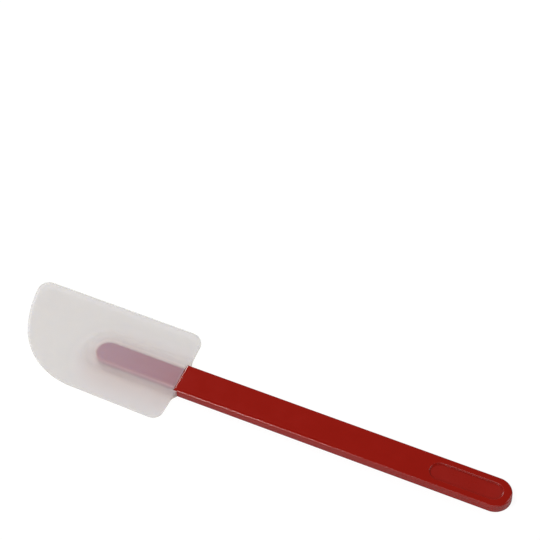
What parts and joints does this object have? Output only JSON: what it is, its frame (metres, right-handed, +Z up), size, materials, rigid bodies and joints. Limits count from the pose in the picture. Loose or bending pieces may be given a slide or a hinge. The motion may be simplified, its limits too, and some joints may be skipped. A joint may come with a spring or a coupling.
{
  "type": "silicone spatula",
  "caption": "Kitchen spatula: thin translucent silicone blade with a straight edge and a round belly, pushed onto the tang of a flat, round-ended plastic handle.",
  "frame": {"origin": "on the handle's flat underside, on its centre line, halfway along the grip", "axes": "+X along the handle from the blade's tip to the free end, +Z up from the face that it lies on, +Y across towards the blade's straight edge"},
  "size_m": [0.2603, 0.0539, 0.0054],
  "materials": {
    "red_plastic": "moulded, glossy",
    "silicone": "milky translucent, satin"
  },
  "bodies": {
    "handle": {"handle": "red_plastic"},
    "blade": {"blade": "silicone"}
  },
  "joints": [
    {"name": "blade_pull_off", "type": "slide", "parent": "handle", "child": "blade", "axis": [-1, 0, 0], "range_m": [0, 0.05]}
  ]
}
